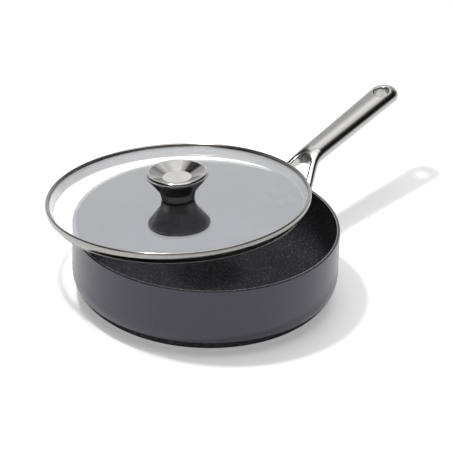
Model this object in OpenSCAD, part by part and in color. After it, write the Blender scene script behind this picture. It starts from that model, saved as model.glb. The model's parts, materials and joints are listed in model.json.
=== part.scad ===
// Saute pan with a forked handle and a flat glass lid, which leans askew on the pan's rim.
// Sizes are in millimetres. The origin is the middle of the base, on the hob.
// +Z is up, and the handle points along +X.

/* [Pan] */
// Outside diameter of the pan
pan_d = 260; // [240:1:290]
// Height of the rim above the hob
pan_h = 74; // [72:0.5:85]
// Thickness of the upright wall
wall_t = 3; // [2.4:0.1:3.6]
// Thickness of the flat base
base_t = 5; // [4:0.1:7]
// Outside radius of the bend from base to wall
corner_r = 29; // [20:0.5:30]
// Number of rings turned into the underside
groove_count = 5; // [3:1:6]
// Width of a turned ring
groove_w = 2; // [1:0.5:4]
// Depth of a turned ring
groove_depth = 0.5; // [0.3:0.1:1]

/* [Grip] */
// Reach of the handle from the pan's wall to its tip
handle_reach = 183; // [165:1:210]
// Angle at which the grip rises
grip_slope = 8.2; // [6:0.1:10]
// Width of the grip near its tip
grip_w = 29.5; // [27:0.5:31]
// Thickness of the grip along its crowned middle
grip_t = 15.5; // [14:0.5:17]
// Thickness of the grip along its round edges
edge_t = 13; // [11:0.2:13.4]
// Reach of the neck, where the grip meets the fork
neck_reach = 46; // [44:0.5:50]
// Height of the middle of the neck above the rim
neck_rise = 7.1; // [6:0.1:9]
// Width of the neck
neck_w = 25; // [23:0.5:26]
// Diameter of the hanging hole
hang_d = 15; // [10:0.5:17]
// Distance from the tip to the middle of the hanging hole
hang_setback = 19; // [17:0.5:24]
// Width of the bevel round the hanging hole
hang_bevel = 1.4; // [0.8:0.1:2]

/* [Fork] */
// Spread of the fork at the pan's wall, outside to outside
fork_spread = 60; // [57:0.5:64]
// Reach of the point where the fork is as narrow as the neck
fork_reach = 37; // [35:0.5:40]
// Gap between the legs at the pan's wall
fork_gap = 41; // [38:0.5:44]
// Radius of the round crotch between the legs
crotch_r = 9; // [7.5:0.1:9.5]
// Distance from the pan's wall to the inside of the crotch
crotch_reach = 36.5; // [34:0.5:38]
// Thickness of a leg
leg_t = 9; // [8:0.1:10]
// Angle at which the legs climb away from the pan
leg_slope = 36.7; // [34:0.1:40]
// Drop from the rim to the middle of a leg at the wall
leg_drop = 22; // [20:0.5:24]

/* [Mounting] */
// Thickness of the curved plate between the fork and the pan
plate_t = 3.5; // [3:0.1:5]
// Margin of the plate beside and above the legs
plate_margin = 3; // [2:0.5:5]
// Radius of the plate's corners
plate_corner_r = 7; // [4:0.5:10]
// Diameter of a rivet's shank
rivet_d = 6; // [5:0.1:7]
// Diameter of a rivet's head
rivet_head_d = 12; // [10:0.5:13]
// Height of a rivet's head
rivet_head_h = 2; // [1.5:0.1:2.5]
// Height between the two rows of rivets
rivet_row_gap = 9; // [8:0.5:11]

/* [Lid] */
// How far the lid's band stands out past the rim
band_overhang = 0.4; // [0.2:0.1:1.5]
// Thickness of the band's steel sheet
sheet_t = 0.7; // [0.6:0.1:0.8]
// Thickness of the glass
glass_t = 4; // [3.5:0.1:5]
// Width of the band's lip over the glass
lip_w = 3.6; // [3:0.1:5]
// Gap between the lid's skirt and the pan's wall when the lid is shut
skirt_gap = 0.6; // [0.4:0.1:1]
// Height of the skirt below the band's face
skirt_h = 7.8; // [6:0.1:9]
// How far the skirt leans inwards towards its foot
skirt_lean = 2.6; // [2:0.1:3.5]
// Radius of the hem rolled along the skirt's foot
hem_r = 0.9; // [0.7:0.1:1.2]

/* [Knob] */
// Diameter of the knob at its widest
knob_d = 61.6; // [56:0.2:64]
// Height of the knob above the glass
knob_h = 28.5; // [26:0.5:31]
// Diameter of the knob's foot
foot_d = 32.8; // [31:0.2:35]
// Diameter of the waist, where the knob starts to flare
waist_d = 35.6; // [35:0.2:38]
// Height of the waist above the glass
waist_h = 8.5; // [7:0.5:10]
// Radius of the rolled edge
edge_r = 2.6; // [2:0.1:3]
// Diameter of the flat floor of the dish
dish_floor_d = 28.6; // [24:0.2:32]
// Depth of the dish below the rolled edge
dish_depth = 5.6; // [4:0.1:7]
// Thickness of the knob's pressed steel
knob_sheet_t = 1.2; // [1:0.1:1.6]

/* [Knob fixing] */
// Diameter of the knob's screw
screw_d = 5; // [4:0.5:6]
// Diameter of the screw's head
screw_head_d = 9.5; // [9:0.5:11]
// Height of the screw's head
screw_head_h = 3; // [2.5:0.1:3.5]
// Thickness of the silicone seal under the knob
seal_t = 1.5; // [1:0.1:2.5]
// Thickness of the silicone seal under the glass
under_seal_t = 1.2; // [0.8:0.1:2]
// Diameter of the silicone seal under the glass
under_seal_d = 22; // [20:0.5:26]
// Thickness of the steel washer
washer_t = 1.2; // [0.8:0.1:2]
// Diameter of the steel washer
washer_d = 19; // [17:0.5:20]
// Diameter of the hole through the glass
glass_hole_d = 9; // [8.5:0.1:11]

/* [Resting place of the lid] */
// How far the lid is pushed off the pan's axis
lid_shift = 40.5; // [36:0.5:46]
// Direction of that push, turned from the handle
lid_turn = 81; // [70:1:95]

/* [Hidden] */
$fn = 180;

// Width of the grip's crown, as a share of the grip's width
crown_share = 0.82;
// Sides of the sections that the handle is lofted through
loft_fn = 32;
// Thickness of such a section
slice_t = 0.05;
// How far a cut runs past the face that it opens
past = 1;
// Gap that keeps the leaning lid just clear of the rim
rest_gap = 0.3;

// Pan
pan_r = pan_d / 2;
inner_r = pan_r - wall_t;
rim_bevel = 0.5;
groove_inner_r = 36;
groove_pitch = (pan_r - corner_r - groove_inner_r) / groove_count;

// Handle: u is the distance out from the pan's wall
leg_z = pan_h - leg_drop;
neck_z = pan_h + neck_rise;
grip_rise = tan(grip_slope);
leg_rise = tan(leg_slope);
// The knee is where the grip's line and the legs' line cross
knee_u = (neck_z - neck_reach * grip_rise - leg_z) / (leg_rise - grip_rise);
knee_z = leg_z + knee_u * leg_rise;
// The bend runs as far below the knee as the neck is above it
bend_u = neck_reach - knee_u;
bend_steps = 3;
// The fork starts this far inside the grip
neck_bite = 4;
// It comes out of the grip's end with this much less width and thickness
neck_step = 0.5;
// The legs run this far past the wall before they are cut to it
leg_root = 8;
leg_splay = (fork_spread - neck_w) / 2 / fork_reach;
grip_len = (handle_reach - neck_reach) / cos(grip_slope) - grip_w / 2;
hang_u = grip_len + grip_w / 2 - hang_setback;
hang_land = hang_bevel * 1.3;
crotch_u = crotch_reach - crotch_r;

// Mounting plate and rivets
plate_w = fork_spread + 2 * plate_margin;
plate_top = leg_z + leg_t / 2 / cos(leg_slope) + plate_margin;
plate_low = corner_r + past;
rivet_mid_z = (plate_top + plate_low) / 2;
// The shank runs this far into the head inside the pan
rivet_root = rivet_head_h / 2;
rivet_side_angle = asin((fork_gap / 2 - rivet_head_d / 2 - 2) / pan_r);
RIVETS = [
    [-rivet_side_angle, rivet_mid_z + rivet_row_gap / 2],
    [0, rivet_mid_z - rivet_row_gap / 2],
    [rivet_side_angle, rivet_mid_z + rivet_row_gap / 2]
];

// Lid, from the top of its band downwards
band_r = pan_r + band_overhang;
band_h = glass_t + 2 * sheet_t;
glass_top = -sheet_t;
glass_under = glass_top - glass_t;
glass_seat_gap = 0.2;
glass_r = band_r - sheet_t - glass_seat_gap;
skirt_r = inner_r - skirt_gap;
skirt_foot_r = skirt_r - skirt_lean;
skirt_foot_z = -band_h - skirt_h;
hem_inner_r = skirt_foot_r - 2 * hem_r;

// Knob, from the glass upwards
edge_mid = [knob_d / 2 - edge_r, knob_h - edge_r];
waist = [waist_d / 2, waist_h];
foot = [foot_d / 2, seal_t];
dish_corner = [dish_floor_d / 2, knob_h - dish_depth];
boss_flange_t = 1.5;
boss_d = screw_d + 6;
boss_h = dish_corner.y - knob_sheet_t - 3;
screw_clearance = 0.1;
// How far a slanting face runs into the round that it ends in
bite = 0.02;
screw_reach = boss_h - 3;
sleeve_gap = 0.1;
socket_d = screw_d * 0.6;

// Point where a line from p touches the circle of radius r round c.
// side is 1 for the left of the way from p to c, and -1 for its right.
function touch(p, c, r, side) =
    let (heading = atan2(c.y - p.y, c.x - p.x) + side * asin(r / norm(c - p)))
    c + r * [cos(heading + side * 90), sin(heading + side * 90)];

// The lid leans on the far rim with its glass, and on the rim beside it with the skirt's foot.
// Each pass gives the lean from those two points, as the last lean leaves them.
function lean(last) =
    let (
        far_x = (pan_r - lid_shift - glass_under * sin(last)) / cos(last),
        foot_shift = lid_shift + skirt_foot_z * sin(last),
        cross_x = (foot_shift ^ 2 + pan_r ^ 2 - hem_inner_r ^ 2) / (2 * foot_shift),
        near_x = (cross_x - foot_shift) / cos(last)
    )
    atan((glass_under - skirt_foot_z) / (far_x - near_x));
lid_lean = lean(lean(lean(lean(0))));
lid_far_x = (pan_r - lid_shift - glass_under * sin(lid_lean)) / cos(lid_lean);
lid_z = pan_h + rest_gap + lid_far_x * sin(lid_lean) - glass_under * cos(lid_lean);

// Half outline of a round vessel: flat base, round corner and upright wall
module vessel_half(r, h, bend) {
    intersection() {
        square([r, h]);
        union() {
            square([r - bend, h]);
            translate([0, bend]) square([r, h]);
            translate([r - bend, bend]) circle(bend);
        }
    }
}

// Half section of the pan, with bevelled rim and turned rings underneath
module pan_half() {
    difference() {
        vessel_half(pan_r, pan_h, corner_r);
        translate([0, base_t]) vessel_half(inner_r, pan_h, corner_r - wall_t);
        for (edge = [pan_r, inner_r])
            translate([edge, pan_h]) rotate(45) square(rim_bevel * sqrt(2), center = true);
        for (i = [0 : groove_count - 1])
            translate([groove_inner_r + i * groove_pitch, -past]) square([groove_w, past + groove_depth]);
    }
}

module pan_body() {
    color("dimgray") difference() {
        rotate_extrude() pan_half();
        rivet_holes();
    }
}

// Stands its children on the pan's wall, with their Z pointing outwards
module at_rivets() {
    for (rivet = RIVETS)
        rotate([0, 0, rivet[0]]) translate([0, 0, rivet[1]]) rotate([0, 90, 0]) children();
}

module rivet_holes() {
    at_rivets() translate([0, 0, inner_r - wall_t]) cylinder(d = rivet_d, h = 2 * wall_t + plate_t + past);
}

// A domed head, flat side down
module rivet_head(d, h) {
    dome_r = (d ^ 2 / 4 + h ^ 2) / (2 * h);
    intersection() {
        translate([0, 0, h - dome_r]) sphere(dome_r);
        cylinder(d = d, h = h);
    }
}

module rivets() {
    color("gainsboro") {
        at_rivets() {
            translate([0, 0, inner_r - rivet_root]) cylinder(d = rivet_d, h = rivet_root + wall_t + plate_t);
            translate([0, 0, pan_r + plate_t]) rivet_head(rivet_head_d - 1, rivet_head_h);
        }
        intersection() {
            cylinder(r = inner_r, h = pan_h);
            at_rivets()
                translate([0, 0, inner_r]) mirror([0, 0, 1]) rivet_head(rivet_head_d, rivet_head_h);
        }
    }
}

// Thin section of the handle, seen end on: two round edges and a crown between them
module bar_slice(w, edge, crown) {
    crown_w = w * crown_share;
    for (side = [-1, 1])
        translate([0, side * (w - edge) / 2, 0])
            cylinder(d = edge, h = slice_t, center = true, $fn = loft_fn);
    scale([crown / crown_w, 1, 1]) cylinder(d = crown_w, h = slice_t, center = true, $fn = loft_fn);
}

// Round end of the grip, with the same edge and crown
module grip_tip() {
    crown_w = grip_w * crown_share;
    rotate_extrude($fn = loft_fn) translate([(grip_w - edge_t) / 2, 0]) circle(d = edge_t, $fn = loft_fn);
    scale([1, 1, grip_t / crown_w]) sphere(d = crown_w, $fn = loft_fn);
}

// The grip widens from the neck to its round tip
module grip() {
    translate([pan_r + neck_reach, 0, neck_z]) rotate([0, -grip_slope, 0]) hull() {
        rotate([0, 90, 0]) bar_slice(neck_w, edge_t, grip_t);
        translate([grip_len, 0, 0]) grip_tip();
    }
}

// Reach, height, slope, and thickness at the edges and the crown, at a share of the fork's bend
function bend_stop(share) = [
    neck_reach - 2 * bend_u * share,
    (1 - share) ^ 2 * neck_z + 2 * share * (1 - share) * knee_z + share ^ 2 * (knee_z - bend_u * leg_rise),
    atan(grip_rise + (leg_rise - grip_rise) * share),
    edge_t - neck_step + (leg_t - edge_t + neck_step) * share,
    grip_t - neck_step + (leg_t - grip_t + neck_step) * share
];

// Sections along the fork, from inside the grip down to the pan
fork_stops = [
    [neck_reach + neck_bite, neck_z + neck_bite * grip_rise, grip_slope, edge_t - neck_step, grip_t - neck_step],
    for (i = [1 : bend_steps]) bend_stop(i / bend_steps),
    [-leg_root, leg_z - leg_root * leg_rise, leg_slope, leg_t, leg_t]
];

module fork_slice(stop) {
    u = stop[0];
    w = max(neck_w - neck_step, fork_spread - 2 * u * leg_splay);
    translate([pan_r + u, 0, stop[1]]) rotate([0, 90 - stop[2], 0]) bar_slice(w, stop[3], stop[4]);
}

// Plan of the opening between the legs
module fork_opening() {
    corner = [0, fork_gap / 2];
    side = touch(corner, [crotch_u, 0], crotch_r, 1);
    root = corner + (corner - side) * 0.4;
    translate([pan_r, 0, 0]) linear_extrude(neck_z + grip_t) {
        translate([crotch_u, 0]) circle(crotch_r);
        polygon([root, side, [side.x, -side.y], [root.x, -root.y]]);
    }
}

module fork() {
    difference() {
        for (i = [0 : bend_steps])
            hull() {
                fork_slice(fork_stops[i]);
                fork_slice(fork_stops[i + 1]);
            }
        fork_opening();
    }
}

module round_rect(w, h, r) {
    square([w - 2 * r, h], center = true);
    square([w, h - 2 * r], center = true);
    for (x = [-1, 1], y = [-1, 1])
        translate([x * (w / 2 - r), y * (h / 2 - r)]) circle(r);
}

// Plate curved to the pan's wall
module mounting_plate() {
    intersection() {
        translate([0, 0, (plate_top + plate_low) / 2])
            rotate([90, 0, 90])
                linear_extrude(pan_r + plate_t + past)
                    round_rect(plate_w, plate_top - plate_low, plate_corner_r);
        cylinder(r = pan_r + plate_t, h = pan_h);
    }
}

module hanging_hole() {
    translate([pan_r + neck_reach, 0, neck_z]) rotate([0, -grip_slope, 0]) translate([hang_u, 0, 0]) {
        cylinder(d = hang_d, h = 2 * grip_t, center = true);
        for (side = [0, 1])
            mirror([0, 0, side])
                translate([0, 0, grip_t / 2 - hang_land])
                    cylinder(d1 = hang_d, d2 = hang_d + 2 * hang_bevel * 1.3, h = hang_land * 1.3);
    }
}

module handle() {
    color("silver") difference() {
        union() {
            grip();
            fork();
            mounting_plate();
        }
        cylinder(r = pan_r, h = pan_h);
        rivet_holes();
        hanging_hole();
    }
}

// Puts the lid's pieces, built level round the top of the band, where they lean on the pan
module on_pan() {
    rotate([0, 0, lid_turn]) translate([lid_shift, 0, lid_z]) rotate([0, lid_lean, 0]) children();
}

module lid_glass() {
    color("lightblue", 0.4) on_pan() translate([0, 0, glass_under]) difference() {
        cylinder(r = glass_r, h = glass_t);
        translate([0, 0, -past]) cylinder(d = glass_hole_d, h = glass_t + 2 * past);
    }
}

// Sheet metal seen end on, from p to q, with round ends
module strip(p, q, t) {
    way = q - p;
    translate(p) rotate(atan2(way.y, way.x)) translate([0, -t / 2]) square([norm(way), t]);
    for (end = [p, q])
        translate(end) circle(d = t);
}

// The band grips the glass, rests on the rim with its ledge and hangs a skirt into the pan
module lid_band() {
    middle = sheet_t / 2;
    lip = [band_r - middle - lip_w, -middle];
    shoulder = [band_r - middle, -middle];
    ledge = [band_r - middle, middle - band_h];
    skirt_top = [skirt_r - middle, middle - band_h];
    hem = [skirt_foot_r - hem_r, skirt_foot_z + hem_r];
    color("silver") on_pan() rotate_extrude() {
        strip(lip, shoulder, sheet_t);
        strip(shoulder, ledge, sheet_t);
        strip(ledge, skirt_top, sheet_t);
        strip(skirt_top, hem, sheet_t);
        translate(hem) circle(hem_r);
    }
}

module on_glass() {
    on_pan() translate([0, 0, glass_top]) children();
}

// Upper half of the knob: a shallow dish with a rolled edge
module knob_dish() {
    cone_top = touch(dish_corner, edge_mid, edge_r - bite, 1);
    sunk = [0, -knob_sheet_t];
    color("gainsboro") on_glass() {
        rotate_extrude() translate(edge_mid) circle(edge_r);
        rotate_extrude() polygon([
            [0, dish_corner.y], dish_corner, cone_top,
            cone_top + sunk, dish_corner + sunk, [0, dish_corner.y] + sunk
        ]);
    }
}

// Lower half of the knob: a hollow stem that flares to the rolled edge
module knob_stem() {
    flare_top = touch(waist, edge_mid, edge_r - bite, -1);
    inwards = [-knob_sheet_t, 0];
    color("gray") on_glass() rotate_extrude() difference() {
        polygon([foot, waist, flare_top, flare_top + inwards, waist + inwards, foot + inwards]);
        translate(edge_mid) circle(edge_r);
    }
}

// Threaded boss welded into the stem, which takes the screw
module knob_boss() {
    color("darkgray") on_glass() difference() {
        union() {
            translate([0, 0, seal_t]) cylinder(d = foot_d - 2 * knob_sheet_t, h = boss_flange_t);
            cylinder(d = boss_d, h = boss_h);
        }
        translate([0, 0, -past]) cylinder(d = boss_d + past, h = past + seal_t);
        cylinder(d = screw_d, h = screw_reach + past);
    }
}

// Seal between knob and glass, with a sleeve that lines the hole
module knob_seal() {
    color("black") on_glass() difference() {
        union() {
            cylinder(d = foot_d - 2, h = seal_t);
            translate([0, 0, -glass_t]) cylinder(d = glass_hole_d - 2 * sleeve_gap, h = glass_t);
        }
        translate([0, 0, -glass_t - past]) cylinder(d = screw_d + 2 * screw_clearance, h = glass_t + seal_t + 2 * past);
    }
}

// Flat ring under the glass, down from the depth given
module under_ring(depth, d, t) {
    on_glass() translate([0, 0, -glass_t - depth - t]) difference() {
        cylinder(d = d, h = t);
        translate([0, 0, -past]) cylinder(d = screw_d + 2 * screw_clearance, h = t + 2 * past);
    }
}

module under_seal() {
    color("black") under_ring(0, under_seal_d, under_seal_t);
}

module screw_washer() {
    color("silver") under_ring(under_seal_t, washer_d, washer_t);
}

module knob_screw() {
    head_top = -glass_t - under_seal_t - washer_t;
    color("silver") on_glass() difference() {
        union() {
            translate([0, 0, head_top]) cylinder(d = screw_d, h = screw_reach - head_top);
            translate([0, 0, head_top]) mirror([0, 0, 1]) rivet_head(screw_head_d, screw_head_h);
        }
        translate([0, 0, head_top - screw_head_h - past])
            cylinder(d = socket_d, h = past + screw_head_h * 0.6, $fn = 6);
    }
}

pan_body();
handle();
rivets();
lid_glass();
lid_band();
knob_dish();
knob_stem();
knob_boss();
knob_seal();
under_seal();
screw_washer();
knob_screw();
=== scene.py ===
# %% [markdown]
# # Saute pan with a forked handle and a flat glass lid
# The pan stands on a pale floor with its lid pushed askew, so that the glass shows the dark inside.
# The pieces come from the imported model, already in place and in metres. This lesson gives each
# piece its finish, makes two of them again as finer surfaces, and sets up a soft studio round them.
# What Blender itself puts in a new scene, a cube, a lamp and a camera, goes first.

import json
import math

import bmesh
import bpy
import numpy as np
from mathutils import Matrix, Vector

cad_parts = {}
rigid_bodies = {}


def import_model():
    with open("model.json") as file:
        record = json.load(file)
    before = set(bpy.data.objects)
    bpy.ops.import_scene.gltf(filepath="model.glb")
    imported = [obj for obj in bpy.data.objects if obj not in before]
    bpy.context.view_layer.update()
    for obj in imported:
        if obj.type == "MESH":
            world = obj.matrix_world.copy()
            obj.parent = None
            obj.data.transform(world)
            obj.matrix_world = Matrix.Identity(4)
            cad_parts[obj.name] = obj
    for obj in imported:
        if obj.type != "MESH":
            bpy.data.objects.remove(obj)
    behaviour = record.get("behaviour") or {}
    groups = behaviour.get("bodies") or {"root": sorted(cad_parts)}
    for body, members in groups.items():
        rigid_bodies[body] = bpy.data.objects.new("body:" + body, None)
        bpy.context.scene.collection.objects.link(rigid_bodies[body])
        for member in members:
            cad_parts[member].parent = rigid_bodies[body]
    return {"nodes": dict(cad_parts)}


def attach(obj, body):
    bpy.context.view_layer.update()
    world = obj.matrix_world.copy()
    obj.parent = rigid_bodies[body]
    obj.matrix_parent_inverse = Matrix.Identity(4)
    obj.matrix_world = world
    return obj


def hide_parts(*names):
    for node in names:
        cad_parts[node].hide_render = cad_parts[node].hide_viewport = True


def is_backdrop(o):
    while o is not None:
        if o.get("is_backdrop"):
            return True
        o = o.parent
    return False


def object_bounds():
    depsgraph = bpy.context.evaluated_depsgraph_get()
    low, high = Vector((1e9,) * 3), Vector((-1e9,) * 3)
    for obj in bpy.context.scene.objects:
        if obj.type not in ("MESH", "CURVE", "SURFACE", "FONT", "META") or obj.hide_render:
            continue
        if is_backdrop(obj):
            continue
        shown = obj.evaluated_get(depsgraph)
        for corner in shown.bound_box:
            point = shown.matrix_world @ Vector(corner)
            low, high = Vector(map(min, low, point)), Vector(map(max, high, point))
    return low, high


for left_over in list(bpy.data.objects):
    bpy.data.objects.remove(left_over)

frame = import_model()
nodes = frame["nodes"]
cad_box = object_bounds()
print("pieces:", ", ".join(sorted(nodes)))

# %% [markdown]
# ## Sizes of the pan
# The handle and the lid are fitted to the pan, so its sizes come first. Sizes of the pieces are in
# millimetres, as on a maker's drawing, and MM turns one into Blender's metres. The studio, further
# down, is in metres.

# %% Sizes of the pan
MM = 0.001
PAN_R = 130.0
PAN_H = 74.0
WALL = 3.0
BASE = 5.0
RIM_IN = PAN_R - WALL
print(f"pan: {2 * PAN_R:.0f} mm across and {PAN_H:.0f} mm high, {2 * RIM_IN:.0f} mm across inside")

# %% [markdown]
# ## Maths on materials
# A pattern in a material is a formula, so it reads best as one. `Value` wraps an output socket,
# and Python's own operators then add the Math nodes. `Finish` holds one material: its Principled
# shader gets the constants directly, and `node` adds any other node with its settings and inputs.
# The edge of a pattern is always written the same way, as `step(off, on)`: the pattern is absent
# at the first number and full at the second, whichever of the two is larger.

# %% Values that write Math nodes


class Value:
    """An output socket on which + - * and abs() write Math nodes."""

    def __init__(self, tree, socket):
        self.tree = tree
        self.socket = socket

    def math(self, operation, *others):
        inputs = dict(enumerate((self, *others)))
        return add_node(self.tree, "ShaderNodeMath", {"operation": operation}, inputs)

    def step(self, off, on):
        """0 at off and beyond, 1 at on and beyond, and a smooth slope between them."""
        inputs = {"Value": self, "From Min": off, "From Max": on}
        smooth = {"interpolation_type": "SMOOTHSTEP"}
        return add_node(self.tree, "ShaderNodeMapRange", smooth, inputs, "Result")

    def __add__(self, other):
        return self.math("ADD", other)

    def __sub__(self, other):
        return self.math("SUBTRACT", other)

    def __rsub__(self, other):
        return self.math("MULTIPLY_ADD", -1.0, other)

    def __mul__(self, other):
        return self.math("MULTIPLY", other)

    def __abs__(self):
        return self.math("ABSOLUTE")

    __radd__ = __add__
    __rmul__ = __mul__


def add_node(tree, kind, settings=None, inputs=None, output=0):
    """Adds a node: its settings first, then the values or links of its inputs."""
    made = tree.nodes.new(kind)
    for name, value in (settings or {}).items():
        setattr(made, name, value)
    for name, value in (inputs or {}).items():
        plug(tree, made.inputs[name], value)
    return Value(tree, made.outputs[output])


def plug(tree, socket, value):
    """Links a Value to the socket, or writes a plain number or colour on it."""
    if isinstance(value, Value):
        tree.links.new(value.socket, socket)
    elif hasattr(socket.default_value, "__len__") and len(socket.default_value) == 4 and len(value) == 3:
        socket.default_value = (*value, 1.0)
    else:
        socket.default_value = value


# %% A finish and how a piece gets it
# A Mix node has sockets of the same names for numbers, vectors and colours. These mix colours.
MIX_FACTOR = 0
MIX_FIRST = 6
MIX_SECOND = 7
MIX_RESULT = 2


class Finish:
    """One node tree: a material by name, or the world's tree."""

    def __init__(self, name, tree=None, **constants):
        if tree is None:
            self.material = bpy.data.materials.new(name)
            self.material.use_nodes = True
            tree = self.material.node_tree
            self.shader = tree.nodes["Principled BSDF"]
        self.tree = tree
        self.feed(**constants)

    def node(self, kind, settings=None, inputs=None, output=0):
        """Adds any other node, and gives back one of its outputs."""
        return add_node(self.tree, kind, settings, inputs, output)

    def feed(self, **inputs):
        """Sets or links the shader's sockets, such as Base_Color=pattern."""
        for name, value in inputs.items():
            plug(self.tree, self.shader.inputs[name.replace("_", " ")], value)

    def place(self):
        """The point on the object, in metres."""
        return self.node("ShaderNodeTexCoord", output="Object")

    def parts(self, vector):
        """The x, y and z of a vector."""
        split = self.node("ShaderNodeSeparateXYZ", inputs={0: vector}).socket.node
        return [Value(self.tree, out) for out in split.outputs]

    def round_and_up(self, spot):
        """Distance from the pan's axis and height above the floor, in millimetres."""
        x, y, z = self.parts(spot)
        return (x * x + y * y).math("SQRT") * (1 / MM), z * (1 / MM)

    def noise(self, vector, scale, detail=2.0, stretch=(1.0, 1.0, 1.0)):
        """Cloudy noise from 0 to 1. stretch above 1 makes it finer along that axis."""
        moved = self.node("ShaderNodeMapping", inputs={"Vector": vector, "Scale": stretch})
        inputs = {"Vector": moved, "Scale": scale, "Detail": detail}
        return self.node("ShaderNodeTexNoise", inputs=inputs)

    def mix(self, factor, first, second):
        """First colour where factor is 0, second where it is 1."""
        inputs = {MIX_FACTOR: factor, MIX_FIRST: first, MIX_SECOND: second}
        return self.node("ShaderNodeMix", {"data_type": "RGBA"}, inputs, MIX_RESULT)

    def bump(self, height, depth):
        """Small relief, depth millimetres deep where height goes from 0 to 1."""
        inputs = {"Height": height, "Distance": depth * MM}
        return self.node("ShaderNodeBump", inputs=inputs, output="Normal")

    def show(self, factor, first, second):
        """Makes the surface the first shader where factor is 0, and the second where it is 1."""
        mixed = self.node("ShaderNodeMixShader", inputs={0: factor, 1: first, 2: second})
        plug(self.tree, self.tree.nodes["Material Output"].inputs["Surface"], mixed)

    def principled(self):
        """The Principled shader as a Value, to mix with another."""
        return Value(self.tree, self.shader.outputs["BSDF"])


def wear(finish, *names):
    """Gives CAD nodes or pieces this finish."""
    for name in names:
        piece = bpy.data.objects[name]
        piece.data.materials.clear()
        piece.data.materials.append(finish.material)
    print(finish.material.name, "on", ", ".join(names))


# %% [markdown]
# ## The pan's two coats
# The shell is one piece of pressed aluminium. Outside it is hard anodised: a dark grey, faintly
# blue skin with a satin sheen. Inside it has a black non-stick coating with bright mineral specks.
# A thin bright metallic line along the inner edge of the rim, between the two coats, is a painted
# highlight that stands in for the light its rounded edge catches. Each coat could be a material of
# its own on its own faces, but the borders would then follow the mesh.
# One material does it all here, because a point's distance from the axis and its height say which
# coat it has.

# %% Where each coat lies
# The thin line along the rim's inner edge is a painted highlight, bright and metallic.
LINING_OUT = (RIM_IN + 0.3, RIM_IN + 0.1)
LINING_LOW = (BASE - 1.0, BASE - 0.8)
RIM_HIGHLIGHT_IN = (RIM_IN, RIM_IN + 0.2)
RIM_HIGHLIGHT_OUT = (RIM_IN + 1.0, RIM_IN + 0.6)
RIM_HIGHLIGHT_LOW = (PAN_H - 1.0, PAN_H - 0.6)


def lining_and_rim_highlight(radius, height):
    """Where the lining lies, and where the painted highlight along the rim's inner edge is."""
    lined = radius.step(*LINING_OUT) * height.step(*LINING_LOW)
    bare_and_highlight = radius.step(*RIM_HIGHLIGHT_IN) * radius.step(*RIM_HIGHLIGHT_OUT) * height.step(*RIM_HIGHLIGHT_LOW)
    return lined, bare_and_highlight


# The width printed here is that of the painted highlight along the rim.
print(f"bare line: {RIM_HIGHLIGHT_OUT[0] - RIM_HIGHLIGHT_IN[0]:.1f} mm wide at height {PAN_H:.0f} mm")

# %% [markdown]
# ## Specks in the lining
# The specks are grains of mineral in the black coating, each less than a millimetre wide and in no
# order. Real grains could be scattered over the floor of the pan, but there would be tens of
# thousands. A Voronoi texture cuts space into cells instead, and gives each cell a colour by
# chance. A speck is the middle of a cell, in those cells whose colour is bright.

# %% The lining and its specks
LINING_DARK = (0.01, 0.01, 0.011)
LINING_LIGHT = (0.028, 0.028, 0.031)
SPECK_COLOUR = (0.22, 0.22, 0.225)
SPECKS_PER_METRE = 1100.0
# A speck's edge, as a share of a cell from its middle, and the brightness that makes a cell one.
SPECK_EDGE = (0.4, 0.2)
SPECK_CHANCE = (0.56, 0.8)


def lining(coat, spot, grain):
    """The black coating's shader. Its specular level is 0, because the real coating is dull."""
    cells = {"Vector": spot, "Scale": SPECKS_PER_METRE}
    near = coat.node("ShaderNodeTexVoronoi", inputs=cells, output="Distance")
    chance = coat.node("ShaderNodeTexVoronoi", inputs=cells, output="Color")
    speck = near.step(*SPECK_EDGE) * chance.step(*SPECK_CHANCE)
    black = coat.mix(grain, LINING_DARK, LINING_LIGHT)
    look = {
        "Base Color": coat.mix(speck, black, SPECK_COLOUR),
        "Metallic": speck * 0.8,
        "Roughness": 0.36 + grain * 0.08,
        "Specular IOR Level": 0.0,
        "Normal": coat.bump(grain, 0.1),
    }
    return coat.node("ShaderNodeBsdfPrincipled", inputs=look, output="BSDF")


print(f"specks: one at most in each cell of {1 / SPECKS_PER_METRE / MM:.1f} mm")

# %% [markdown]
# ## The pan's finish as a whole
# The hard-anodised skin goes on the material's Principled shader, the lining on a second one, and
# a Mix Shader chooses between them at each point. Anodised metal reflects more than paint does,
# hence the high IOR.

# %% Finish of the pan
ANODISED_DARK = (0.004, 0.004, 0.007)
ANODISED_LIGHT = (0.009, 0.009, 0.014)
# Colour of the painted highlight along the rim's inner edge.
RIM_HIGHLIGHT_COLOUR = (0.5, 0.5, 0.51)
GRAINS_PER_METRE = 900.0


def pan_finish():
    coat = Finish("hard_anodised_and_coated", IOR=1.72, Specular_Tint=(0.88, 0.89, 1.0))
    spot = coat.place()
    lined, bare_and_highlight = lining_and_rim_highlight(*coat.round_and_up(spot))
    grain = coat.noise(spot, scale=GRAINS_PER_METRE, detail=3.0)
    coat.feed(
        # The bright metallic line along the rim is a painted highlight.
        Base_Color=coat.mix(bare_and_highlight, coat.mix(grain, ANODISED_DARK, ANODISED_LIGHT), RIM_HIGHLIGHT_COLOUR),
        Metallic=bare_and_highlight * 0.7,
        Roughness=0.24 + grain * 0.06,
        Normal=coat.bump(grain, 0.04),
    )
    coat.show(lined, coat.principled(), lining(coat, spot, grain))
    return coat


wear(pan_finish(), "pan_body")

# %% [markdown]
# ## Surfaces from numbers
# A new piece is a grid of points, worked out as whole arrays. `skin` takes rings of points and
# closes both ends with a fan of triangles. Blender's own modifiers then join and cut such skins,
# because a hole through a curved form has no simple formula of its own.

# %% Skins and cuts


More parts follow.
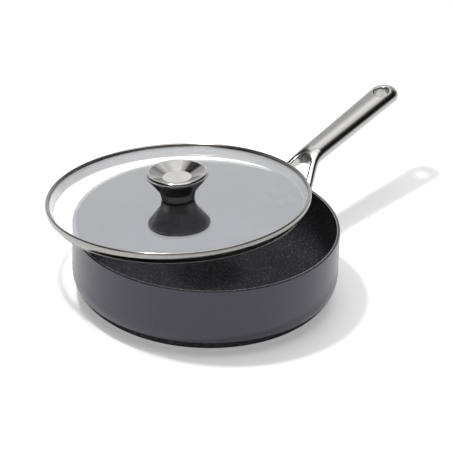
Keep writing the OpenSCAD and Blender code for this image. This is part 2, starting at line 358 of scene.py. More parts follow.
def make_piece(name, points, faces):
    """An object from points in metres and faces, with its normals turned outwards."""
    mesh = bpy.data.meshes.new(name)
    mesh.from_pydata(points.tolist(), [], faces)
    shape = bmesh.new()
    shape.from_mesh(mesh)
    bmesh.ops.recalc_face_normals(shape, faces=shape.faces)
    shape.to_mesh(mesh)
    shape.free()
    made = bpy.data.objects.new(name, mesh)
    bpy.context.scene.collection.objects.link(made)
    return made


def skin(name, rings, start, end):
    """A closed surface in millimetres: rings of points in order, and a point that closes each end."""
    count, around = rings.shape[:2]
    points = np.concatenate([rings.reshape(-1, 3), [start, end]]) * MM
    here = np.arange(count * around).reshape(count, around)
    beside = np.roll(here, -1, axis=1)
    walls = np.stack([here[:-1], beside[:-1], beside[1:], here[1:]], axis=-1).reshape(-1, 4)
    first_cap = np.stack([beside[0], here[0], np.full(around, count * around)], axis=-1)
    last_cap = np.stack([here[-1], beside[-1], np.full(around, count * around + 1)], axis=-1)
    return make_piece(name, points, walls.tolist() + first_cap.tolist() + last_cap.tolist())


def bake(piece):
    """Makes what the piece's modifiers show into its own mesh."""
    shown = piece.evaluated_get(bpy.context.evaluated_depsgraph_get())
    piece.data = bpy.data.meshes.new_from_object(shown)
    piece.modifiers.clear()


def carve(piece, operation, tool):
    """Joins the tool to the piece, or cuts it away, and removes the tool."""
    work = piece.modifiers.new(operation, "BOOLEAN")
    work.operation = operation
    work.object = tool
    bake(piece)
    bpy.data.objects.remove(tool)


def turn_once(count):
    """Angles all the way round, in radians."""
    return np.linspace(0, 2 * math.pi, count, endpoint=False)


def smooth_step(value, start, end):
    """0 before start, 1 after end, and 3 s^2 - 2 s^3 between them."""
    share = np.clip((value - start) / (end - start), 0, 1)
    return share * share * (3 - 2 * share)


def in_space(side_view):
    """A point or a way of the side view, (x, z), as (x, 0, z)."""
    return np.array([side_view[0], 0, side_view[1]])


# %% [markdown]
# ## The line of the handle
# The real handle is one steel casting: a grip with a rounded top, a fork of two flat legs, and a
# plate that follows the pan's wall. The solid model is lofted in narrow flats, and brushed steel
# would show each of them. So the same form is made again as one smooth skin. It is a run of
# sections along a bent line, from which the opening and the hanging hole are cut. A fine remesh
# and a few rounds of smoothing then round every edge a little, as casting and brushing do.
#
# Seen from the side, the line climbs steeply out of the wall, bends at the neck, and runs out
# gently along the grip.

# %% Sizes of the handle, seen from the side
GRIP_SLOPE = math.radians(8.2)
LEG_SLOPE = math.radians(36.7)
NECK_REACH = 46.0
NECK_RISE = 7.1
LEG_DROP = 22.0
HANDLE_REACH = 183.0
TIP_HALF_W = 14.75
# Points and ways of this view are (x, z): outwards from the pan's axis, and up.
NECK = np.array([PAN_R + NECK_REACH, PAN_H + NECK_RISE])
LEG_FOOT = np.array([PAN_R, PAN_H - LEG_DROP])

grip_way = np.array([math.cos(GRIP_SLOPE), math.sin(GRIP_SLOPE)])
leg_way = np.array([math.cos(LEG_SLOPE), math.sin(LEG_SLOPE)])
GRIP_LEN = (PAN_R + HANDLE_REACH - NECK[0]) / grip_way[0] - TIP_HALF_W
TIP = NECK + grip_way * (GRIP_LEN + TIP_HALF_W)
print(f"handle: {GRIP_LEN:.1f} mm from the neck to the centre of its round tip")

# %% The line of the handle
BEND_SECTIONS = 28
GRIP_SECTIONS = 90
TIP_SECTIONS = 26


def knee_point():
    """Where the grip's line and the legs' line cross."""
    ways = np.column_stack([grip_way, -leg_way])
    return NECK + grip_way * np.linalg.solve(ways, LEG_FOOT - NECK)[0]


def handle_line():
    """Middle points, slopes, bend shares and distances past the tip's centre, from the pan outwards.

    The bend is the curve (1 - t)^2 P + 2 t (1 - t) K + t^2 Q, from the neck P by the knee K to Q.
    """
    knee = knee_point()
    low = knee - leg_way * np.linalg.norm(NECK - knee)
    share = np.linspace(1, 0, BEND_SECTIONS)[:, None]
    bend = (1 - share) ** 2 * NECK + 2 * share * (1 - share) * knee + share**2 * low
    grip = NECK + grip_way * np.linspace(0, GRIP_LEN, GRIP_SECTIONS)[1:, None]
    past = TIP_HALF_W * np.sin(np.linspace(0, math.pi / 2, TIP_SECTIONS)[1:-1])
    tip = NECK + grip_way * (GRIP_LEN + past)[:, None]
    middle = np.concatenate([bend, grip, tip])
    shares = np.concatenate([share[:, 0], np.zeros(len(grip) + len(tip))])
    over = np.concatenate([np.zeros(len(bend) + len(grip)), past])
    slope = GRIP_SLOPE + (LEG_SLOPE - GRIP_SLOPE) * shares
    return middle, slope, shares, over


knee = knee_point()
print(f"handle: knee {knee[0] - PAN_R:.1f} mm from the wall and {knee[1]:.1f} mm up")

# %% [markdown]
# ## The sections of the handle
# Cut across, the grip is a soft oval with a crowned top, and a leg is a flat bar with round edges.
# A cylinder that is squashed would give neither. A formula with a power does: 2 gives an ellipse,
# and a little more gives the fuller form that fills a hand.

# %% Sizes of the handle's sections
FORK_HALF_W = 30.0
FORK_REACH = 37.0
NECK_HALF_W = 12.5
NECK_FLOW = 1.2
CROWN_HALF_T = 7.75
LEG_HALF_T = 4.5
print("handle's widths in mm: fork", 2 * FORK_HALF_W, "neck", 2 * NECK_HALF_W, "tip", 2 * TIP_HALF_W)

# %% Width and section
# ROUNDNESS is the power n of the grip's oval, and AROUND the number of points round a section.
ROUNDNESS = 2.3
AROUND = 128


def half_width(x, along):
    """The fork narrows in a straight line that flows into the neck, and the grip widens to its tip.

    Of the two half widths f and g it is (f + g + sqrt((f - g)^2 + 4 c^2)) / 2: the larger of them,
    with a soft change from one to the other, which is larger by c where the two are equal.
    """
    fork = FORK_HALF_W - (x - PAN_R) * (FORK_HALF_W - NECK_HALF_W) / FORK_REACH
    grip = NECK_HALF_W + (TIP_HALF_W - NECK_HALF_W) * np.clip(along / GRIP_LEN, 0, 1)
    return (fork + grip + np.sqrt((fork - grip) ** 2 + 4 * NECK_FLOW**2)) / 2


def section(middle, slope, half_w, half_t, flat, over):
    """Points round one section or many.

    With k = |y| / half width, the grip's half thickness is t (1 - k^n)^(1/n), and a leg's is t with
    a half circle at each edge. flat goes from the one to the other. Past the tip's centre, k is the
    distance from that centre, so the end is as round in plan as it is across.
    """
    angle = turn_once(AROUND)
    reach = np.sqrt(np.maximum(half_w**2 - over**2, 0))
    y = reach[:, None] * np.cos(angle)
    k = np.minimum(np.sqrt(y**2 + over[:, None] ** 2) / half_w[:, None], 1)
    t = half_t[:, None]
    grip_t = t * (1 - k**ROUNDNESS) ** (1 / ROUNDNESS)
    edge = np.clip((np.abs(y) - (half_w[:, None] - t)) / t, 0, 1)
    leg_t = t * np.sqrt(1 - edge**2)
    height = np.sign(np.sin(angle)) * (grip_t + (leg_t - grip_t) * flat[:, None])
    x = middle[:, :1] - np.sin(slope)[:, None] * height
    z = middle[:, 1:] + np.cos(slope)[:, None] * height
    return np.stack([x, y, z], axis=-1)


print(f"neck: {2 * half_width(NECK[0], 0.0):.1f} mm wide, with the flow of the fork's sides")

# %% [markdown]
# ## The outer form of the handle
# The sections are strung along the line. At the neck a slight step in thickness leaves the crease
# that the casting has where the grip passes into the fork. Below the bend the legs run straight on
# until they are buried in the plate.

# %% The outer form of the handle
PLATE_T = 3.5
PLATE_R = PAN_R + PLATE_T
LEG_BURIED = 2.0
LEG_SECTIONS = 24
CREASE_DEPTH = 0.35
CREASE_REACH = 0.8
# The sections are those of flat legs from this share of the bend on.
FLAT_FROM = 0.9


def leg_foot():
    """The section of the legs, with each point slid along the legs' way to a place in the plate."""
    one = np.ones(1)
    foot = section(LEG_FOOT[None], LEG_SLOPE * one, FORK_HALF_W * one, LEG_HALF_T * one, one, 0 * one)[0]
    buried_r = PLATE_R - LEG_BURIED
    run = (np.sqrt(buried_r**2 - foot[:, 1] ** 2) - foot[:, 0]) / leg_way[0]
    return foot + run[:, None] * in_space(leg_way)


def handle_bar():
    """The whole outer form, still without openings, from inside the plate to the tip."""
    middle, slope, share, over = handle_line()
    along = (middle - NECK) @ grip_way
    half_w = half_width(middle[:, 0], along)
    flat = smooth_step(share, 0, FLAT_FROM)
    half_t = CROWN_HALF_T + (LEG_HALF_T - CROWN_HALF_T) * flat
    half_t -= CREASE_DEPTH * smooth_step(-along, -CREASE_REACH, CREASE_REACH) * (1 - flat)
    rings = section(middle, slope, half_w, half_t, flat, over)
    way_out = np.linspace(0, 1, LEG_SECTIONS)[:-1, None, None]
    legs = leg_foot() * (1 - way_out) + rings[0] * way_out
    start = [PLATE_R - LEG_BURIED, 0, LEG_FOOT[1]]
    return skin("forked_handle", np.concatenate([legs, rings]), start, in_space(TIP))


handle = handle_bar()
print("handle's outer form:", len(handle.data.polygons), "faces")

# %% [markdown]
# ## The opening between the legs
# From above, the fork's opening is a round crotch with two straight sides that touch its circle
# and run apart to the pan. An upright tool of that plan is cut through the bar. Two separate legs
# could be made instead, but their join at the crotch would need a blend.

# %% Cut the opening
GAP_HALF_W = 20.5
CROTCH_R = 9.0
CROTCH_REACH = 36.5
CROTCH_X = PAN_R + CROTCH_REACH - CROTCH_R
CROTCH_POINTS = 64
CUT_FROM = 20.0
CUT_TO = 120.0
# The straight sides run on into the pan by this share of their length.
OVERRUN = 0.4


def prism(outline, low, high):
    """An upright tool over a plan outline."""
    rings = np.stack([np.column_stack([outline, np.full(len(outline), z)]) for z in (low, high)])
    middle = outline.mean(axis=0)
    return skin("tool", rings, [*middle, low], [*middle, high])


def fork_opening():
    """The round crotch and its straight sides, which touch the circle at turn from its middle."""
    away = CROTCH_X - PAN_R
    heading = math.asin(CROTCH_R / math.hypot(away, GAP_HALF_W)) - math.atan2(GAP_HALF_W, away)
    turn = math.pi / 2 + heading
    angles = np.linspace(-turn, turn, CROTCH_POINTS)
    crotch = np.array([CROTCH_X, 0]) + CROTCH_R * np.column_stack([np.cos(angles), np.sin(angles)])
    corner = np.array([PAN_R, GAP_HALF_W])
    root = corner + (corner - crotch[-1]) * OVERRUN
    return prism(np.concatenate([crotch, [root, root * (1, -1)]]), CUT_FROM, CUT_TO)


carve(handle, "DIFFERENCE", fork_opening())
print(f"opening: {2 * GAP_HALF_W:.0f} mm wide at the wall, crotch of radius {CROTCH_R:.0f} mm")

# %% [markdown]
# ## The hanging hole
# The hole goes square through the grip near its tip and has a bevel at each mouth, so that a hook
# meets no sharp edge. One tool with four rings makes the bore and both bevels in a single cut.

# %% Cut the hanging hole
HOLE_R = 7.5
HOLE_BEVEL = 1.82
HOLE_SETBACK = 19.0
HOLE_POINTS = 96


def hanging_hole():
    """Rings round the hole's axis. Past the land, the straight part, the radius grows with height."""
    centre = in_space(TIP - grip_way * HOLE_SETBACK)
    land = CROWN_HALF_T - HOLE_BEVEL
    heights = np.array([-2 * CROWN_HALF_T, -land, land, 2 * CROWN_HALF_T])
    radii = HOLE_R + np.maximum(np.abs(heights) - land, 0)
    angle = turn_once(HOLE_POINTS)[:, None]
    up = in_space((-grip_way[1], grip_way[0]))
    circle = np.cos(angle) * in_space(grip_way) + np.sin(angle) * np.array([0, 1, 0])
    rings = centre + heights[:, None, None] * up + radii[:, None, None] * circle
    return skin("tool", rings, centre + heights[0] * up, centre + heights[-1] * up)


carve(handle, "DIFFERENCE", hanging_hole())
print(f"hanging hole: {2 * HOLE_R:.0f} mm wide, {HOLE_SETBACK:.0f} mm from the tip")

# %% [markdown]
# ## The mounting plate
# The plate spreads the handle's load on the wall, and the rivets go through it. It is a rounded
# rectangle that is bent to the wall. Bending a flat plate with a modifier would do, but a point's
# place on the cylinder is one square root, so the plate is made bent.

# %% Add the plate
PLATE_MARGIN = 3.0
PLATE_HALF_W = FORK_HALF_W + PLATE_MARGIN
PLATE_LOW = 30.0
PLATE_TOP = 60.6
PLATE_CORNER = 7.0
PLATE_GAP = 0.05
PLATE_POINTS = 96
PLATE_RINGS = 12
SMALLEST_RING = 0.05
# A slight turn keeps every point off the plate's two middle lines, where a side's sign would be 0.
OFF_THE_LINE = 0.01


def mounting_plate():
    """Rings that grow over the plate's front and shrink again over its back, x = sqrt(r^2 - y^2)."""
    angle = turn_once(PLATE_POINTS) + OFF_THE_LINE
    mid_z = (PLATE_LOW + PLATE_TOP) / 2
    half = np.array([PLATE_HALF_W, (PLATE_TOP - PLATE_LOW) / 2]) - PLATE_CORNER
    way = np.column_stack([np.cos(angle), np.sin(angle)])
    outline = half * np.sign(way) + PLATE_CORNER * way
    growing = np.linspace(SMALLEST_RING, 1, PLATE_RINGS)
    sizes = np.concatenate([growing, growing[::-1]])[:, None]
    radii = np.repeat([PLATE_R, PAN_R + PLATE_GAP], PLATE_RINGS)[:, None]
    y = sizes * outline[:, 0]
    z = mid_z + sizes * outline[:, 1]
    rings = np.stack([np.sqrt(radii**2 - y**2), y, z], axis=-1)
    return skin("tool", rings, [PLATE_R, 0, mid_z], [PAN_R, 0, mid_z])


carve(handle, "UNION", mounting_plate())
print(f"plate: {2 * PLATE_HALF_W:.0f} mm wide and {PLATE_TOP - PLATE_LOW:.0f} mm high")

# %% [markdown]
# ## Softened edges
# Cuts and joins leave knife-sharp edges, and cast and brushed steel has none. A bevel would fail
# on so many small faces. A voxel remesh gives the form small even cells instead, and smoothing
# then pulls every edge round by a fraction of a millimetre.

# %% Soften the handle and hand it over
CELL = 0.51
SMOOTH_ROUNDS = 8


def soften(piece):
    """Remeshes in small even cells and smooths them, which rounds the edges."""
    remesh = piece.modifiers.new("even", "REMESH")
    remesh.mode = "VOXEL"
    remesh.voxel_size = CELL * MM
    smooth = piece.modifiers.new("soft", "SMOOTH")
    smooth.factor = 0.5
    smooth.iterations = SMOOTH_ROUNDS
    bake(piece)
    piece.data.shade_smooth()


soften(handle)
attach(handle, "pan")
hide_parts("handle")
print("handle:", len(handle.data.polygons), "faces")

# %% [markdown]
# ## The lid's rolled band
# The band is one strip of steel that was rolled round the glass. Its upper edge is a round bead
# that stands above the glass, its face bulges a little, and a skirt with a hem hangs into the pan.
# The solid has plain flats there, so the same section with rounds is spun here about the lid's
# axis. A Screw modifier could spin it too, but the lid leans, and its axis has to be found first:
# it is the way in which the points of the glass disc are spread least.

# %% Find the lid


def lid_middle():
    """Middle of the glass disc and its axis, from the spread of its points."""
    glass = bpy.data.objects["lid_glass"].data
    points = np.empty(len(glass.vertices) * 3)
    glass.vertices.foreach_get("co", points)
    points = points.reshape(-1, 3)
    middle = (points.min(axis=0) + points.max(axis=0)) / 2
    _, ways = np.linalg.eigh(np.cov((points - middle).T))
    axis = ways[:, 0] * np.sign(ways[2, 0])
    return middle, axis


glass_middle, lid_axis = lid_middle()
print(f"lid: leans {math.degrees(math.acos(lid_axis[2])):.2f} degrees")

# %% Sizes of the band
SHEET_T = 0.7
GLASS_T = 4.0
BAND_H = GLASS_T + 2 * SHEET_T
OVERHANG = 0.2
BAND_R = PAN_R + OVERHANG
SIDE_T = 0.5
FACE_BULGE = 0.22
LIP_W = 3.8
LIP_BEVEL = (0.1, 0.15)
BEAD_R = 1.5
BEAD_Z = -0.3
FOOT_R = 0.8
SKIRT_GAP = 0.6
SKIRT_LEAN = 2.6
SKIRT_H = 7.8
HEM_R = 0.9
# The bead starts at this angle from straight out, and the hem turns this far to both sides.
BEAD_START = 195
HEM_TURN = 150
# The skirt's inner side meets the band a little inside its line, by this share of half a sheet.
ROOT_SHARE = 1.05
SKIRT_TOP = np.array([RIM_IN - SKIRT_GAP - SHEET_T / 2, SHEET_T / 2 - BAND_H])
HEM = np.array([RIM_IN - SKIRT_GAP - SKIRT_LEAN - HEM_R, HEM_R - BAND_H - SKIRT_H])
print(f"band: {BAND_H:.1f} mm high, skirt {SKIRT_H:.1f} mm, hem at radius {HEM[0]:.1f} mm")

# %% The section of the band
BEAD_POINTS = 26
FACE_POINTS = 14
FOOT_POINTS = 8
SKIRT_POINTS = 6
HEM_POINTS = 24


def arc(centre, radius, start, end, count):
    """Points of an arc, from one angle in degrees to another."""
    angle = np.radians(np.linspace(start, end, count))
    return centre + radius * np.column_stack([np.cos(angle), np.sin(angle)])


def bulging_face(low):
    """The band's face, which stands out by 4 b s (1 - s) at share s of its height."""
    height = np.linspace(BEAD_Z, low, FACE_POINTS)[1:-1]
    share = (height - BEAD_Z) / (low - BEAD_Z)
    return np.column_stack([BAND_R + 4 * FACE_BULGE * share * (1 - share), height])


def band_outline():
    """Half section of the band: radius and height over its flat top, clockwise from the bead."""
    under = SHEET_T - BAND_H
    bead = arc(np.array([BAND_R - BEAD_R, BEAD_Z]), BEAD_R, BEAD_START, 0, BEAD_POINTS)
    face = bulging_face(FOOT_R - BAND_H)
    foot = arc(np.array([BAND_R - FOOT_R, FOOT_R - BAND_H]), FOOT_R, 0, -90, FOOT_POINTS)
    way = (HEM - SKIRT_TOP) / np.linalg.norm(HEM - SKIRT_TOP)
    out = np.array([-way[1], way[0]]) * SHEET_T / 2
    skirt = np.linspace(SKIRT_TOP + out, HEM + out - way * HEM_R, SKIRT_POINTS)
    heading = math.degrees(math.atan2(way[1], way[0]))
    hem = arc(HEM, HEM_R, heading + HEM_TURN, heading - HEM_TURN, HEM_POINTS)
    skirt_root = [SKIRT_TOP[0] - out[0] * ROOT_SHARE, under]
    inner_skirt = np.linspace(HEM - out - way * HEM_R, skirt_root, SKIRT_POINTS)
    inner_r = BAND_R - SIDE_T
    lip_r = BAND_R - LIP_W
    seat = np.array([[inner_r, under], [inner_r, -SHEET_T], [lip_r, -SHEET_T]])
    bevel = np.array([[lip_r + LIP_BEVEL[0], LIP_BEVEL[1] - SHEET_T]])
    return np.concatenate([bead, face, foot, skirt, hem, inner_skirt, seat, bevel])


print("band's section:", len(band_outline()), "points")

# %% Spin the band and hand it over
BAND_STEPS = 720
SHARP = math.radians(35)


def spin(name, outline, middle, axis):
    """A ring: point (r, h) of the outline goes to middle + h axis + r (cos(turn) u + sin(turn) v).

    u and v are two ways across the axis, square to each other.
    """
    turn = turn_once(BAND_STEPS)[:, None]
    u = np.cross(axis, [1.0, 0.0, 0.0])
    u = u / np.linalg.norm(u)
    v = np.cross(axis, u)
    spoke = np.cos(turn) * u + np.sin(turn) * v
    points = middle + outline[None, :, 1:] * MM * axis + outline[None, :, :1] * MM * spoke[:, None, :]
    here = np.arange(BAND_STEPS * len(outline)).reshape(BAND_STEPS, len(outline))
    on = np.roll(here, -1, axis=0)
    down = np.roll(here, -1, axis=1)
    both = np.roll(on, -1, axis=1)
    walls = np.stack([here, down, both, on], axis=-1).reshape(-1, 4)
    made = make_piece(name, points.reshape(-1, 3), walls.tolist())
    made.data.shade_smooth()
    made.data.set_sharp_from_angle(angle=SHARP)
    return made


# The outline's heights are over the band's top, which lies this far above the glass's middle.
top_over_middle = SHEET_T + GLASS_T / 2
outline = band_outline() + np.array([0, top_over_middle])
band = spin("rolled_band", outline, glass_middle, lid_axis)
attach(band, "lid")
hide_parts("lid_band")
print("band:", len(band.data.polygons), "faces")

# %% [markdown]
# ## Brushed steel
# The handle is brushed along its length after casting. The scratches are far too fine to model,
# so they are noise that is drawn out along the handle and fine across it. The noise shifts the
# colour and the roughness a little, and it gives a slight relief.

# %% Finish of the handle
BRUSHED_DARK = (0.46, 0.45, 0.44)
BRUSHED_LIGHT = (0.58, 0.57, 0.56)
GRAIN_ALONG = 40.0
GRAIN_ACROSS = 2400.0


def brushed_steel():
    steel = Finish("brushed_steel", Metallic=1.0)
    spot = steel.place()
    drawn_out = (GRAIN_ALONG, GRAIN_ACROSS, GRAIN_ACROSS)
    grain = steel.noise(spot, scale=1.0, detail=4.0, stretch=drawn_out)
    cloud = steel.noise(spot, scale=60.0)
    steel.feed(
        Base_Color=steel.mix(cloud * 0.5 + grain * 0.5, BRUSHED_DARK, BRUSHED_LIGHT),
        Roughness=0.13 + grain * 0.09,
        Normal=steel.bump(grain, 0.02),
    )
    return steel


wear(brushed_steel(), "forked_handle")

# %% [markdown]
# ## Turned steel
# The knob was brushed while it spun, so fine scratches run round it. A light that they catch is
# spread across them, in spokes from the middle to the edge. Noise fine enough to do this would
# flicker, and the shader has a setting for it: Anisotropic stretches a highlight, and a quarter
# turn of Anisotropic Rotation makes it run across the scratches. The stem stands in the dish's
# shade on the real knob, and that shade is painted: its steel is darker, and dimmer where seen
# edge on.

# %% Finish of the knob
QUARTER_TURN = 0.25
DISH_STEEL = {"dark": (0.43, 0.42, 0.415), "light": (0.52, 0.51, 0.50), "rim": (1.0, 1.0, 1.0)}
# The stem's darker colours and dim edge are painted shade, for the shade under the dish.
STEM_STEEL_PAINTED_SHADE = {"dark": (0.32, 0.31, 0.30), "light": (0.38, 0.37, 0.36), "rim": (0.3, 0.3, 0.3)}


def turned_steel(name, dark, light, rim):
    """dark and light are the cloudy colour, and rim is how bright it is where seen edge on."""
    shine = {"Anisotropic": 0.9, "Anisotropic_Rotation": QUARTER_TURN, "Specular_Tint": rim}
    steel = Finish(name, Metallic=1.0, **shine)
    cloud = steel.noise(steel.place(), scale=90.0)
    steel.feed(Base_Color=steel.mix(cloud, dark, light), Roughness=0.1 + cloud * 0.04)
    return steel


wear(turned_steel("turned_dish_steel", **DISH_STEEL), "knob_dish")
wear(turned_steel("turned_stem_steel_painted_shade", **STEM_STEEL_PAINTED_SHADE), "knob_stem")

# %% [markdown]
# ## Steel of the lid's band
# The band was rolled, not turned. Its scratches are short and few, so the highlight is stretched
# only a little, and its steel shows more of the room.

# %% Finish of the band
ROLLED_DARK = (0.33, 0.32, 0.31)
ROLLED_LIGHT = (0.41, 0.40, 0.39)


def rolled_steel():
    steel = Finish("rolled_steel", Metallic=1.0, Anisotropic=0.3, Anisotropic_Rotation=QUARTER_TURN)
    cloud = steel.noise(steel.place(), scale=300.0)
    steel.feed(Base_Color=steel.mix(cloud, ROLLED_DARK, ROLLED_LIGHT), Roughness=0.16 + cloud * 0.06)
    return steel


wear(rolled_steel(), "rolled_band")

# %% [markdown]
# ## Small steel parts
# The boss, the washer and the screw are plain machined steel, and mostly out of sight. The rivets
# are one node with heads on both sides of the wall. The heads inside were coated black with the
# pan, and the ones outside are bare, so here too the distance from the axis chooses the colour.

# %% Finish of the screw, the boss and the rivets
PLAIN_DARK = (0.56, 0.55, 0.54)
PLAIN_LIGHT = (0.66, 0.65, 0.64)
COATED_DARK = (0.006, 0.006, 0.007)
COATED_LIGHT = (0.012, 0.012, 0.013)
BARE_RIVET = (0.6, 0.59, 0.58)
BARE_FROM = (PAN_R - 2.5, PAN_R - 1.5)


def plain_steel():
    steel = Finish("plain_steel", Metallic=1.0)
    cloud = steel.noise(steel.place(), scale=90.0)
    steel.feed(Base_Color=steel.mix(cloud, PLAIN_DARK, PLAIN_LIGHT), Roughness=0.2 + cloud * 0.06)
    return steel


def rivet_steel():
    steel = Finish("rivet_steel", IOR=1.45)
    spot = steel.place()
    radius, _ = steel.round_and_up(spot)
    bare_and_highlight = radius.step(*BARE_FROM)
    coated = steel.mix(steel.noise(spot, scale=400.0), COATED_DARK, COATED_LIGHT)
    steel.feed(
        Base_Color=steel.mix(bare_and_highlight, coated, BARE_RIVET),
        Metallic=bare_and_highlight,
        Roughness=0.45 - bare_and_highlight * 0.25,
    )
    return steel


wear(plain_steel(), "knob_boss", "screw_washer", "knob_screw")
wear(rivet_steel(), "rivets")

# %% [markdown]
# ## Tempered glass
# The lid is clear, very slightly blue, and shines more than plain glass, so a coat layer adds to
# its reflections. A lamp's light hardly finds its way through refracting glass, which then throws
# a black shadow. So a shadow ray meets a plain Transparent shader instead, and the lamp shines
# straight through, less what the glass keeps.

# %% Finish of the glass
GLASS_COLOUR = (0.975, 0.98, 0.99)
GLASS_SHADOW = (0.9, 0.91, 0.92)
COOL_SHINE = (0.7, 0.76, 1.0)


def clear_glass():
    coat = {"Coat_Weight": 1.0, "Coat_Roughness": 0.0, "Coat_IOR": 1.65}
    glass = Finish("tempered_glass", Roughness=0.0, IOR=1.56, Transmission_Weight=1.0, **coat)
    glass.feed(Base_Color=GLASS_COLOUR, Specular_Tint=COOL_SHINE)
    shadow_ray = glass.node("ShaderNodeLightPath", output="Is Shadow Ray")
    see_through = glass.node("ShaderNodeBsdfTransparent", inputs={"Color": GLASS_SHADOW})
    glass.show(shadow_ray, glass.principled(), see_through)
    return glass


wear(clear_glass(), "lid_glass")

# %% [markdown]
# ## Silicone
# Two soft black seals keep the knob and the washer off the glass. Silicone is matt and nearly
# even, so a very fine noise in colour and roughness is all that it needs.

# %% Finish of the seals
SILICONE_DARK = (0.012, 0.012, 0.012)
SILICONE_LIGHT = (0.022, 0.022, 0.022)


def silicone():
    rubber = Finish("matt_silicone")
    grain = rubber.noise(rubber.place(), scale=700.0)
    rubber.feed(Base_Color=rubber.mix(grain, SILICONE_DARK, SILICONE_LIGHT), Roughness=0.5 + grain * 0.1)
    return rubber


wear(silicone(), "knob_seal", "under_seal")

# %% [markdown]
# ## The floor
# The pan stands on a wide pale sheet. Under the lamp and the room alone, the shadow on it would
# grow darker towards the pan's foot. The photographed shadow is even all the way, as on a table
# that is lit from below as well, so the sheet glows faintly by itself.

# %% The floor
FLOOR_HALF = 3.0
FLOOR_GLOW = 0.34
FLOOR_COLOUR = (0.93, 0.93, 0.935)
WHITE = (1.0, 1.0, 1.0)


def build_floor():
    corners = [(-1, -1, 0), (1, -1, 0), (1, 1, 0), (-1, 1, 0)]
    points = np.array(corners) * FLOOR_HALF
    mesh = bpy.data.meshes.new("floor")
    mesh.from_pydata(points.tolist(), [], [(0, 1, 2, 3)])
    floor = bpy.data.objects.new("floor", mesh)
    bpy.context.scene.collection.objects.link(floor)
    paper = Finish("floor_paper", Roughness=1.0, Specular_IOR_Level=0.0, Emission_Strength=FLOOR_GLOW)
    paper.feed(Base_Color=FLOOR_COLOUR, Emission_Color=WHITE)
    mesh.materials.append(paper.material)
    floor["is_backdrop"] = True


build_floor()
print(f"floor: {2 * FLOOR_HALF:.0f} m wide, glowing at {FLOOR_GLOW}")

# %% [markdown]
# ## The room
# Steel has no colour of its own to show. It shows the room, so the room is drawn with care: pale
# walls, a softbox high up behind the pan with dark gaps beside it, a narrow window below it, a
# bright ceiling, and darkness to both sides and in front. Panels could hang round the pan, but
# they would have to be kept out of every view. So the room is the world's own glow, a formula of
# the direction. The camera, and what it sees through the glass, gets plain white.

# %% Plan of the room
# Height is in degrees above the horizon. Side is counted to the right from straight behind the pan,
# and away is the same to both sides. Each edge is a pair: off the patch, and fully on it.
BEHIND = {"side": [(-55.0, -25.0), (45.0, 20.0)]}
UPPER_WALLS = {"height": [(0.0, 22.0)]}
SOFTBOX = {"height": [(38.0, 45.0)]}
SOFTBOX_TOP = {"height": [(49.0, 58.0)]}
LOW_CEILING = {"height": [(50.0, 62.0)]}
HIGH_CEILING = {"height": [(60.0, 70.0)]}
WINDOW = {"height": [(13.0, 16.0), (28.0, 24.0)], "side": [(-10.0, -7.0), (10.0, 7.0)]}
DARK_SIDES = {"height": [(-2.0, 28.0), (70.0, 58.0)], "away": [(30.0, 46.0), (125.0, 105.0)]}
DARK_FRONT = {"height": [(68.0, 52.0)], "away": [(95.0, 125.0)]}
GAPS = {"height": [(28.0, 33.0), (55.0, 49.0)], "away": [(19.0, 25.0)]}
DARKENED = ((DARK_SIDES, 0.95), (DARK_FRONT, 0.9), (GAPS, 0.9))
WALL_GLOW = 0.8
UPPER_WALL_LOSS = 0.22
SOFTBOX_GLOW = 0.9
SOFTBOX_TOP_LOSS = 0.62
LOW_CEILING_GLOW = 0.3
HIGH_CEILING_GLOW = 0.9
WINDOW_GLOW = 0.72


def patch(direction, edges):
    """1 on a patch of the room and 0 off it: the product of its soft edges."""
    return math.prod(direction[name].step(*edge) for name, pairs in edges.items() for edge in pairs)


def room_glow(height, side):
    """Brightness of the room by direction: what glows is added up, and then what is dark dims it."""
    direction = {"height": height, "side": side, "away": abs(side)}
    behind = patch(direction, BEHIND)
    glow = WALL_GLOW - UPPER_WALL_LOSS * patch(direction, UPPER_WALLS)
    softbox = patch(direction, SOFTBOX) * (1 - SOFTBOX_TOP_LOSS * patch(direction, SOFTBOX_TOP))
    glow = glow + SOFTBOX_GLOW * softbox * behind
    glow = glow + LOW_CEILING_GLOW * patch(direction, LOW_CEILING) * (1 - behind)
    glow = glow + HIGH_CEILING_GLOW * patch(direction, HIGH_CEILING)
    glow = glow + WINDOW_GLOW * patch(direction, WINDOW)
    for dark, share in DARKENED:
        glow = glow * (1 - share * patch(direction, dark))
    return glow


print("room: softbox from", SOFTBOX["height"][0][0], "to", SOFTBOX_TOP["height"][0][1], "degrees up")

# %% [markdown]
# ## Directions in the room
# Among the world's nodes, Generated is the direction in which a ray leaves the scene. Its height
# is an arcsine. Its side is an arctangent of how far the ray goes across and how far ahead, which
# is towards the back of the room, and not along x.

# %% Light the room
BACK_OF_ROOM = math.radians(36.0)
DEGREES = 180 / math.pi


def build_room():
    """Glow by direction, for all rays but those of the camera and those through the glass."""
    world = bpy.data.worlds.new("room")
    world.use_nodes = True
    bpy.context.scene.world = world
    room = Finish("room", world.node_tree)
    x, y, z = room.parts(room.node("ShaderNodeTexCoord", output="Generated"))
    height = z.math("ARCSINE") * DEGREES
    ahead = x * math.cos(BACK_OF_ROOM) + y * math.sin(BACK_OF_ROOM)
    across = x * math.sin(BACK_OF_ROOM) - y * math.cos(BACK_OF_ROOM)
    glow = room_glow(height, across.math("ARCTAN2", ahead) * DEGREES)
    seen = room.node("ShaderNodeLightPath", output="Is Camera Ray")
    through = room.node("ShaderNodeLightPath", output="Is Transmission Ray")
    plain = seen.math("MAXIMUM", through)
    background = world.node_tree.nodes["Background"]
    plug(room.tree, background.inputs["Strength"], glow + plain * (1 - glow))
    plug(room.tree, background.inputs["Color"], WHITE)


build_room()
print("room:", len(bpy.context.scene.world.node_tree.nodes), "nodes")

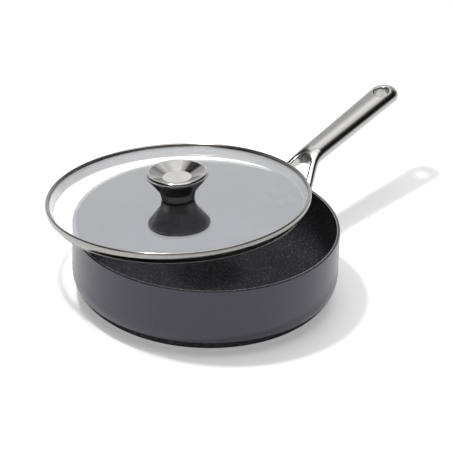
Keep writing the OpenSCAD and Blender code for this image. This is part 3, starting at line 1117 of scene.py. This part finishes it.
# %% [markdown]
# ## The lamp
# One lamp high above the pan's left throws the shadows: the handle's on the floor, and the knob's
# inside the pan. The smaller the disc of the lamp, the crisper is the edge of a shadow.

# %% The lamp
LAMP_PLACE = Vector((-0.149, 0.288, 1.130))
LAMP_AIM = Vector((0.03, 0.0, 0.0))
LAMP_SIZE = 0.11
LAMP_POWER = 6.2


def build_lamp():
    light = bpy.data.lights.new("key", "AREA")
    light.shape = "DISK"
    light.size = LAMP_SIZE
    light.energy = LAMP_POWER
    lamp = bpy.data.objects.new("key", light)
    bpy.context.scene.collection.objects.link(lamp)
    lamp.location = LAMP_PLACE
    lamp.rotation_euler = (LAMP_AIM - LAMP_PLACE).to_track_quat("-Z", "Y").to_euler()


build_lamp()
print(f"lamp: {LAMP_POWER} W, {(LAMP_PLACE - LAMP_AIM).length:.2f} m away")

# %% [markdown]
# ## The camera
# The photograph looks down on the pan by 29 degrees through a long lens, with the handle pointing
# away to the right, and it is turned by about 2 degrees. The camera's three ways are worked out
# from those angles and written into its matrix, which is plainer than a chain of rotations. The
# Standard view transform then shows each colour about as it was written above.

# %% The camera
AZIMUTH = math.radians(-54.0)
ELEVATION = math.radians(29.05)
ROLL = math.radians(1.91)
DISTANCE = 4.039
LENS = 318.6
AIM = Vector((0.1189, 0.0628, 0.0))
FARTHEST = 100.0


def build_camera():
    data = bpy.data.cameras.new("camera")
    data.lens = LENS
    data.clip_end = FARTHEST
    camera = bpy.data.objects.new("camera", data)
    bpy.context.scene.collection.objects.link(camera)
    level = math.cos(ELEVATION)
    back = Vector((math.sin(AZIMUTH) * level, -math.cos(AZIMUTH) * level, math.sin(ELEVATION)))
    right = Vector((math.cos(AZIMUTH), math.sin(AZIMUTH), 0.0))
    up = back.cross(right)
    leaning_right = right * math.cos(ROLL) + up * math.sin(ROLL)
    leaning_up = up * math.cos(ROLL) - right * math.sin(ROLL)
    turn = Matrix((leaning_right, leaning_up, back)).transposed()
    camera.matrix_world = Matrix.Translation(AIM + back * DISTANCE) @ turn.to_4x4()
    bpy.context.scene.camera = camera


build_camera()
bpy.context.scene.view_settings.view_transform = "Standard"
print(f"camera: {LENS} mm lens, {DISTANCE:.2f} m away")

# %% [markdown]
# ## Check and finish
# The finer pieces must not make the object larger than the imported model, so its box is measured
# again and kept beside the first one.

# %% Check the size and finish
shown_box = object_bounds()
growth = max(abs(a - b) for now, then in zip(shown_box, cad_box) for a, b in zip(now, then))
print(f"box: moved by {growth / MM:.2f} mm at most")
